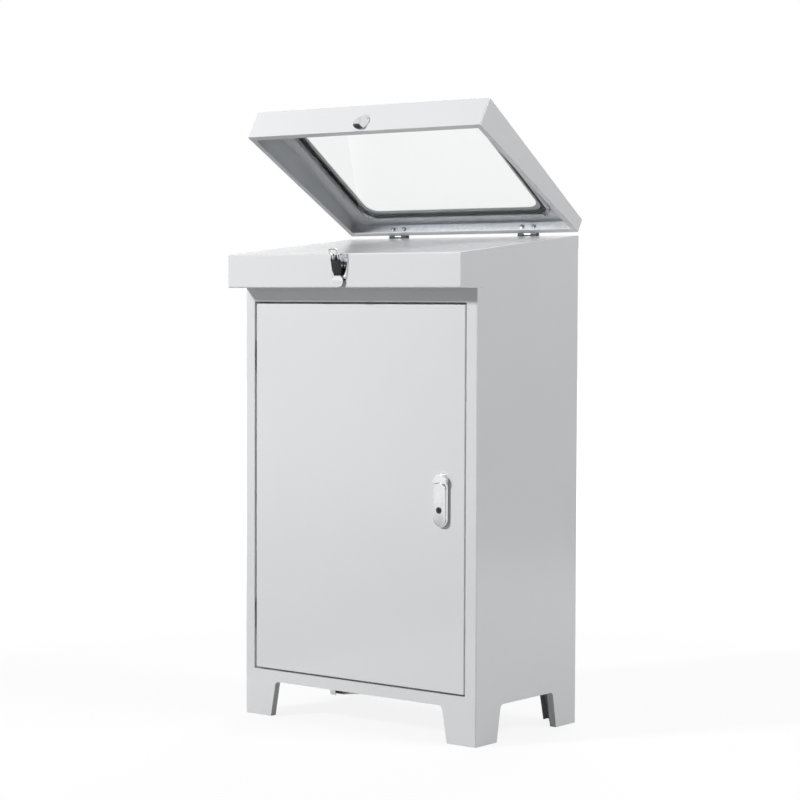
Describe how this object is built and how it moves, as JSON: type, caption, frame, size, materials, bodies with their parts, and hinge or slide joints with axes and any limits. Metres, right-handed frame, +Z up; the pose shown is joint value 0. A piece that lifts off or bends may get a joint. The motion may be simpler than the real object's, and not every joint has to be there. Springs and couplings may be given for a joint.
{
  "type": "operator console cabinet",
  "caption": "Floor-standing sheet-steel console enclosure with a flush locking door, an overhanging nose, a sloping deck and a hinged glazed lid with a toggle latch.",
  "frame": {"origin": "on the floor, in the middle of the four floor anchor holes", "axes": "+X to the right seen from the front, +Y to the back, +Z up"},
  "size_m": [0.6, 0.4363, 1.2569],
  "materials": {
    "painted_steel": "light grey gloss powder coat",
    "galvanised_sheet": "galvanised sheet",
    "zinc_plated_steel": "zinc plated",
    "chrome_plate": "bright plated",
    "blackened_steel": "black oxide",
    "black_plastic": "moulded black",
    "black_rubber": "extruded rubber",
    "seal_foam": "foamed in place seal",
    "window_glass": "clear toughened glass"
  },
  "bodies": {
    "carcass": {"right_side_panel": "painted_steel", "left_side_panel": "painted_steel", "front_frame": "painted_steel", "back_panel": "painted_steel", "deck_panel": "painted_steel", "bottom_plate": "painted_steel", "foot_plates": "painted_steel", "gland_plate": "galvanised_sheet", "gland_grommets": "black_rubber", "gland_screws": "zinc_plated_steel", "mounting_plate": "galvanised_sheet", "plate_standoffs": "zinc_plated_steel", "plate_nuts": "zinc_plated_steel", "body_earth_stud": "zinc_plated_steel", "upper_hinge_bracket": "zinc_plated_steel", "lower_hinge_bracket": "zinc_plated_steel", "upper_hinge_pin": "zinc_plated_steel", "lower_hinge_pin": "zinc_plated_steel", "left_body_leaf": "blackened_steel", "right_body_leaf": "blackened_steel", "left_lid_pin": "zinc_plated_steel", "right_lid_pin": "zinc_plated_steel", "body_leaf_bolts": "zinc_plated_steel", "latch_base": "chrome_plate", "latch_rivets": "zinc_plated_steel", "latch_pivots": "zinc_plated_steel"},
    "door": {"door_panel": "painted_steel", "door_gasket": "seal_foam", "upper_hinge_leaf": "zinc_plated_steel", "lower_hinge_leaf": "zinc_plated_steel", "lock_housing": "chrome_plate", "lock_clamp": "zinc_plated_steel", "lock_clamp_screws": "zinc_plated_steel"},
    "lock_turner": {"lock_spindle": "zinc_plated_steel", "lock_handle_pin": "zinc_plated_steel", "lock_cam": "zinc_plated_steel", "lock_cam_nut": "zinc_plated_steel"},
    "lock_grip": {"lock_handle": "chrome_plate"},
    "lock_key": {"lock_button": "black_plastic"},
    "lid": {"lid_shell": "painted_steel", "lid_glass": "window_glass", "glass_gasket": "black_rubber", "right_retainer": "galvanised_sheet", "left_retainer": "galvanised_sheet", "front_retainer": "galvanised_sheet", "rear_retainer": "galvanised_sheet", "retainer_nuts": "zinc_plated_steel", "lid_hinge_strip": "galvanised_sheet", "left_lid_leaf": "zinc_plated_steel", "right_lid_leaf": "zinc_plated_steel", "lid_leaf_bolts": "zinc_plated_steel", "latch_keeper": "chrome_plate", "keeper_rivets": "zinc_plated_steel"},
    "latch_arm": {"latch_lever": "chrome_plate"},
    "latch_loop": {"latch_bail": "chrome_plate"}
  },
  "joints": [
    {"name": "lid_hinge", "type": "hinge", "parent": "carcass", "child": "lid", "pos_m": [0, 0.1775, 1.003], "axis": [-1, 0, 0], "range_deg": [-36.1, 66]},
    {"name": "door_hinge", "type": "hinge", "parent": "carcass", "child": "door", "pos_m": [-0.263, -0.1665, 0.4785], "axis": [0, 0, -1], "range_deg": [0, 105]},
    {"name": "lock_turn", "type": "hinge", "parent": "door", "child": "lock_turner", "pos_m": [0.217, -0.1725, 0.4972], "axis": [0, 1, 0], "range_deg": [0, 60]},
    {"name": "lock_lift", "type": "hinge", "parent": "lock_turner", "child": "lock_grip", "pos_m": [0.217, -0.1798, 0.4972], "axis": [-1, 0, 0], "range_deg": [0, 30]},
    {"name": "lock_press", "type": "slide", "parent": "lock_grip", "child": "lock_key", "axis": [0, 1, 0], "range_m": [0, 0.0012], "stiffness_N_per_m": 800},
    {"name": "latch_lever_swing", "type": "hinge", "parent": "carcass", "child": "latch_arm", "pos_m": [0, -0.2355, 0.951], "axis": [-1, 0, 0], "range_deg": [0, 90]},
    {"name": "latch_bail_swing", "type": "hinge", "parent": "latch_arm", "child": "latch_loop", "pos_m": [0, -0.2335, 0.934], "axis": [1, 0, 0], "range_deg": [-25, 0]}
  ]
}
